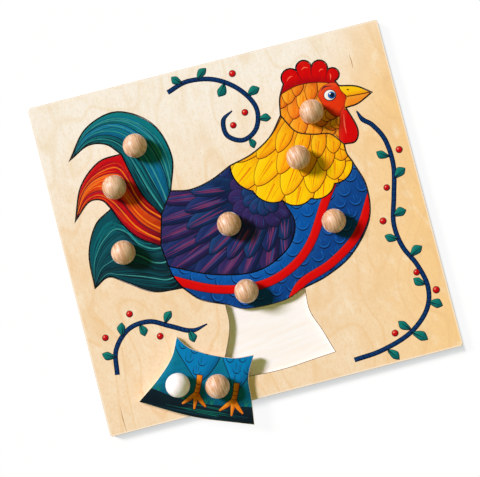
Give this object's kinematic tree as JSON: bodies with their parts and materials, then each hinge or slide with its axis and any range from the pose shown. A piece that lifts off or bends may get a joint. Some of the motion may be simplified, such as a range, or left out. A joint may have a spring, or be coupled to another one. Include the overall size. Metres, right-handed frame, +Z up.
{
  "type": "wooden knob puzzle",
  "caption": "Flat wooden tray board with a bird figure sawn out of it in painted pieces, each lifted out of its recess by turned knobs.",
  "frame": {"origin": "middle of the board's underside, on the surface that it lies on", "axes": "+X along the board's long side, to the right of the figure; +Y along its short side, to the figure's head; +Z up, the way the pieces lift out"},
  "size_m": [0.3, 0.2995, 0.031],
  "materials": {
    "backing": "white lacquered face",
    "birch_veneer": "clear satin lacquer",
    "red_paint": "satin paint on plywood",
    "yellow_paint": "satin paint on plywood",
    "indigo_paint": "satin paint on plywood",
    "blue_paint": "satin paint on plywood",
    "teal_paint": "satin paint on plywood",
    "crimson_paint": "satin paint on plywood",
    "dark_teal_paint": "satin paint on plywood",
    "turned_beech": "clear waxed, turned",
    "white_lacquered_beech": "turned, thin white lacquer",
    "beech_dowel": "sanded end grain"
  },
  "bodies": {
    "board": {"backing_board": "backing", "frame_board": "birch_veneer"},
    "head": {"head_piece": "red_paint", "head_knob": "turned_beech", "head_dowel": "beech_dowel"},
    "hackle": {"hackle_piece": "yellow_paint", "hackle_knob": "turned_beech", "hackle_dowel": "beech_dowel"},
    "wing": {"wing_piece": "indigo_paint", "wing_knob": "turned_beech", "wing_dowel": "beech_dowel"},
    "body": {"body_piece": "blue_paint", "body_front_knob": "turned_beech", "body_rear_knob": "turned_beech", "body_front_dowel": "beech_dowel", "body_rear_dowel": "beech_dowel"},
    "upper_plume": {"upper_plume_piece": "teal_paint", "upper_plume_knob": "turned_beech", "upper_plume_dowel": "beech_dowel"},
    "middle_plume": {"middle_plume_piece": "crimson_paint", "middle_plume_knob": "turned_beech", "middle_plume_dowel": "beech_dowel"},
    "lower_plume": {"lower_plume_piece": "dark_teal_paint", "lower_plume_knob": "turned_beech", "lower_plume_dowel": "beech_dowel"},
    "feet": {"feet_piece": "dark_teal_paint", "feet_left_knob": "white_lacquered_beech", "feet_right_knob": "turned_beech", "feet_left_dowel": "beech_dowel", "feet_right_dowel": "beech_dowel"}
  },
  "joints": [
    {"name": "head_lift", "type": "slide", "parent": "board", "child": "head", "axis": [0, 0, 1], "range_m": [0, 0.035]},
    {"name": "hackle_lift", "type": "slide", "parent": "board", "child": "hackle", "axis": [0, 0, 1], "range_m": [0, 0.035]},
    {"name": "wing_lift", "type": "slide", "parent": "board", "child": "wing", "axis": [0, 0, 1], "range_m": [0, 0.035]},
    {"name": "body_lift", "type": "slide", "parent": "board", "child": "body", "axis": [0, 0, 1], "range_m": [0, 0.035]},
    {"name": "upper_plume_lift", "type": "slide", "parent": "board", "child": "upper_plume", "axis": [0, 0, 1], "range_m": [0, 0.035]},
    {"name": "middle_plume_lift", "type": "slide", "parent": "board", "child": "middle_plume", "axis": [0, 0, 1], "range_m": [0, 0.035]},
    {"name": "lower_plume_lift", "type": "slide", "parent": "board", "child": "lower_plume", "axis": [0, 0, 1], "range_m": [0, 0.035]},
    {"name": "feet_lift", "type": "slide", "parent": "board", "child": "feet", "axis": [0, 0, 1], "range_m": [0, 0.035]}
  ]
}
